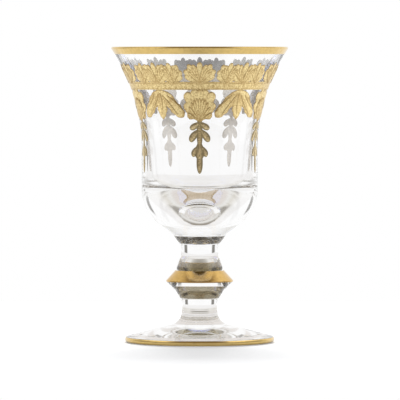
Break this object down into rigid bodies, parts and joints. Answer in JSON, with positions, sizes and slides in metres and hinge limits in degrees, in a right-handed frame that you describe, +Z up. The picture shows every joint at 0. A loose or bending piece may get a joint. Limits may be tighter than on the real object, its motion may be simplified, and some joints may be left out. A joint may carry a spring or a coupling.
{
  "type": "water glass",
  "caption": "Clear footed goblet with a bell-shaped bowl, thick solid base and angular knop, gilded at rim, knop and foot, with a gold leaf border around the bowl; holds a drink",
  "frame": {"origin": "centre of the foot, on the surface it stands on", "axes": "+Z up along the glass's axis; -Y is the front, where one of the drops faces the viewer"},
  "size_m": [0.1026, 0.1026, 0.1713],
  "materials": {
    "glass": "clear polished crystal",
    "polished_gold": "fired gold, burnished",
    "etched_gold": "fired gold over an etched pattern, satin",
    "dark_gold": "fired gold over an etched pattern, darker satin"
  },
  "bodies": {
    "root": {"foot": "glass", "lower_stem": "glass", "knop": "glass", "upper_stem": "glass", "collar": "glass", "bowl": "glass", "foot_band": "polished_gold", "knop_band": "polished_gold", "rim_band": "polished_gold", "frieze_band": "etched_gold", "palmette_1": "etched_gold", "palmette_2": "etched_gold", "palmette_3": "etched_gold", "palmette_4": "etched_gold", "palmette_5": "etched_gold", "drop_1": "dark_gold", "drop_2": "dark_gold", "drop_3": "dark_gold", "drop_4": "dark_gold", "drop_5": "dark_gold", "leaf_spray_1": "etched_gold", "leaf_spray_2": "etched_gold", "leaf_spray_3": "etched_gold", "leaf_spray_4": "etched_gold", "leaf_spray_5": "etched_gold", "small_crest_1": "etched_gold", "small_crest_2": "etched_gold", "small_crest_3": "etched_gold", "small_crest_4": "etched_gold", "small_crest_5": "etched_gold", "wide_crest_1": "etched_gold", "wide_crest_2": "etched_gold", "wide_crest_3": "etched_gold", "wide_crest_4": "etched_gold", "wide_crest_5": "etched_gold"}
  },
  "joints": []
}
